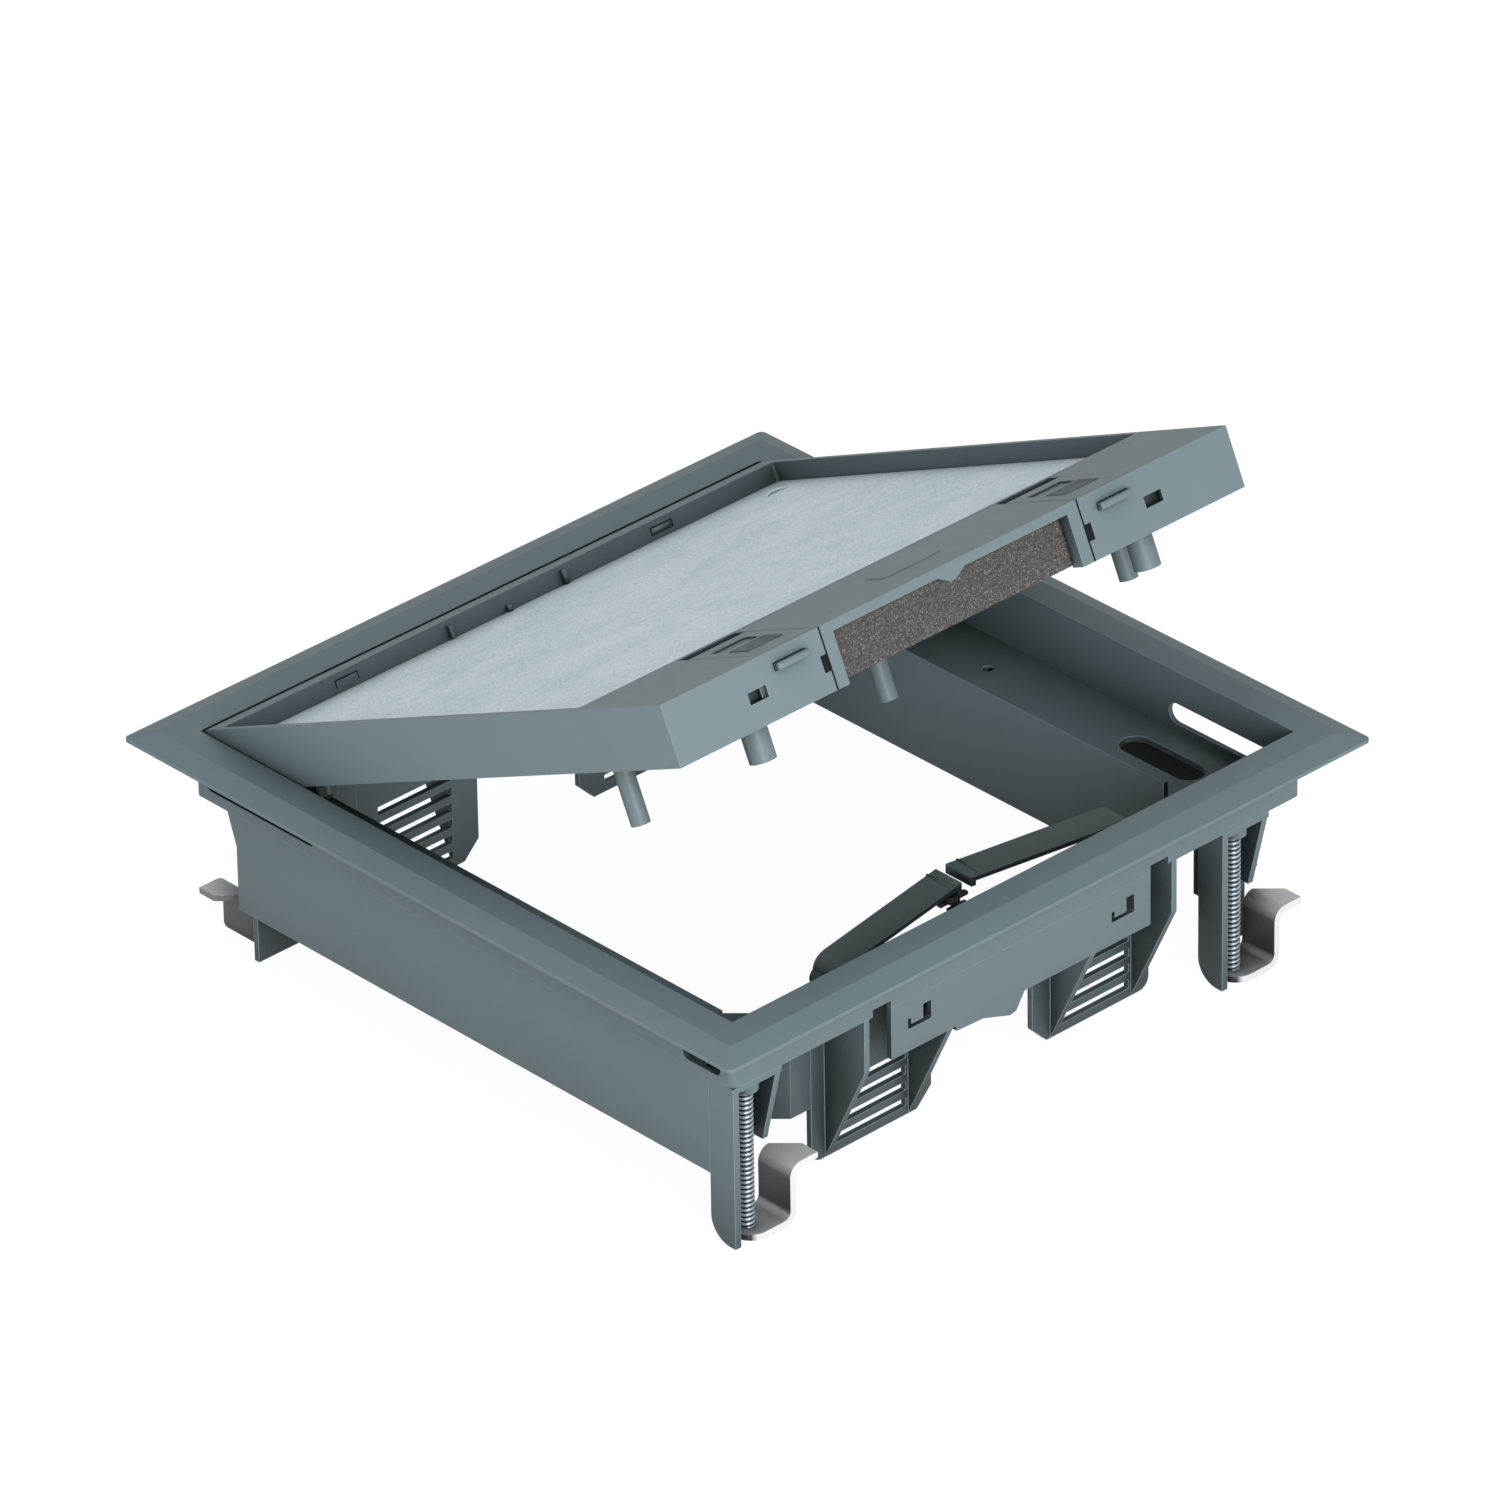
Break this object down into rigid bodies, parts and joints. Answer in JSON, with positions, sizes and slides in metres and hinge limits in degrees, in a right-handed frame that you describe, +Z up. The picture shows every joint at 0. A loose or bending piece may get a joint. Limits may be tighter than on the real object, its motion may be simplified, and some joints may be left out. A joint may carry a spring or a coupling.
{
  "type": "floor socket insert",
  "caption": "Square flanged floor box insert with screw-driven floor clamps and a hinged recessed lid with latches and a foam-sealed cord outlet.",
  "frame": {"origin": "centre of the square frame, level with the feet of the clamp posts", "axes": "+Z up out of the floor, -Y towards the lid's free edge and the cord outlet, +X to the right of someone facing the outlet from outside, so the hinge lies along X at +Y"},
  "size_m": [0.264, 0.264, 0.1708],
  "materials": {
    "frame_plastic": "fine satin moulding",
    "lid_plastic": "fine satin moulding",
    "arm_plastic": "satin",
    "lid_sheet": "zinc-coated sheet, fine mottle",
    "outlet_foam": "open-cell foam",
    "zinc_steel": "bright zinc plated",
    "claw_steel": "bright stamped strip"
  },
  "bodies": {
    "frame": {"cover_flange": "frame_plastic", "front_wall": "frame_plastic", "rear_wall": "frame_plastic", "left_channel": "frame_plastic", "right_channel": "frame_plastic", "front_left_louvre": "frame_plastic", "front_left_web": "frame_plastic", "front_left_clamp_post": "frame_plastic", "front_right_louvre": "frame_plastic", "front_right_web": "frame_plastic", "front_right_clamp_post": "frame_plastic", "rear_left_louvre": "frame_plastic", "rear_left_web": "frame_plastic", "rear_left_clamp_post": "frame_plastic", "rear_right_louvre": "frame_plastic", "rear_right_web": "frame_plastic", "rear_right_clamp_post": "frame_plastic"},
    "pins": {"hinge_pins": "zinc_steel"},
    "lid": {"lid_tray": "lid_plastic", "steel_plate": "lid_sheet", "cord_outlet": "lid_plastic", "foam_seal": "outlet_foam"},
    "left_latch": {"left_latch": "lid_plastic"},
    "right_latch": {"right_latch": "lid_plastic"},
    "left_arm": {"left_cable_arm": "arm_plastic"},
    "right_arm": {"right_cable_arm": "arm_plastic"},
    "front_left_screw": {"front_left_clamp_screw": "zinc_steel"},
    "front_left_claw": {"front_left_claw": "claw_steel"},
    "front_right_screw": {"front_right_clamp_screw": "zinc_steel"},
    "front_right_claw": {"front_right_claw": "claw_steel"},
    "rear_right_screw": {"rear_right_clamp_screw": "zinc_steel"},
    "rear_right_claw": {"rear_right_claw": "claw_steel"},
    "rear_left_screw": {"rear_left_clamp_screw": "zinc_steel"},
    "rear_left_claw": {"rear_left_claw": "claw_steel"}
  },
  "joints": [
    {"name": "pin_slide", "type": "slide", "parent": "frame", "child": "pins", "axis": [0, 0.9709, 0.2395], "range_m": [-0.00618, 0]},
    {"name": "lid_hinge", "type": "hinge", "parent": "pins", "child": "lid", "pos_m": [0, 0.1115, 0.07478], "axis": [-1, 0, 0], "range_deg": [-24.87, 70]},
    {"name": "left_latch_slide", "type": "slide", "parent": "lid", "child": "left_latch", "axis": [0, 0.9073, -0.4206], "range_m": [0, 0.004], "stiffness_N_per_m": 250, "springref_m": -0.004},
    {"name": "right_latch_slide", "type": "slide", "parent": "lid", "child": "right_latch", "axis": [0, 0.9073, -0.4206], "range_m": [0, 0.004], "stiffness_N_per_m": 250, "springref_m": -0.004},
    {"name": "left_arm_flex", "type": "hinge", "parent": "frame", "child": "left_arm", "pos_m": [-0.06, -0.098, 0.0583], "axis": [0, 1, 0], "range_deg": [0, 15], "stiffness_Nm_per_rad": 0.6, "springref_deg": -8.59},
    {"name": "right_arm_flex", "type": "hinge", "parent": "frame", "child": "right_arm", "pos_m": [0.06, -0.098, 0.0583], "axis": [0, -1, 0], "range_deg": [0, 15], "stiffness_Nm_per_rad": 0.6, "springref_deg": -8.59},
    {"name": "front_left_screw_turn", "type": "hinge", "parent": "frame", "child": "front_left_screw", "pos_m": [-0.1077, -0.112, 0.0295], "axis": [0, 0, -1], "range_deg": [0, 5400]},
    {"name": "front_left_claw_climb", "type": "slide", "parent": "frame", "child": "front_left_claw", "axis": [0, 0, 1], "range_m": [0, 0.024]},
    {"name": "front_right_screw_turn", "type": "hinge", "parent": "frame", "child": "front_right_screw", "pos_m": [0.0935, -0.112, 0.0295], "axis": [0, 0, -1], "range_deg": [0, 5400]},
    {"name": "front_right_claw_climb", "type": "slide", "parent": "frame", "child": "front_right_claw", "axis": [0, 0, 1], "range_m": [0, 0.024]},
    {"name": "rear_right_screw_turn", "type": "hinge", "parent": "frame", "child": "rear_right_screw", "pos_m": [0.1077, 0.112, 0.0295], "axis": [0, 0, -1], "range_deg": [0, 5400]},
    {"name": "rear_right_claw_climb", "type": "slide", "parent": "frame", "child": "rear_right_claw", "axis": [0, 0, 1], "range_m": [0, 0.024]},
    {"name": "rear_left_screw_turn", "type": "hinge", "parent": "frame", "child": "rear_left_screw", "pos_m": [-0.0935, 0.112, 0.0295], "axis": [0, 0, -1], "range_deg": [0, 5400]},
    {"name": "rear_left_claw_climb", "type": "slide", "parent": "frame", "child": "rear_left_claw", "axis": [0, 0, 1], "range_m": [0, 0.024]}
  ],
  "couplings": [
    {"joint": "front_left_screw_turn", "follows": "front_left_claw_climb", "rad_per_m": 3927},
    {"joint": "front_right_screw_turn", "follows": "front_right_claw_climb", "rad_per_m": 3927},
    {"joint": "rear_right_screw_turn", "follows": "rear_right_claw_climb", "rad_per_m": 3927},
    {"joint": "rear_left_screw_turn", "follows": "rear_left_claw_climb", "rad_per_m": 3927}
  ]
}
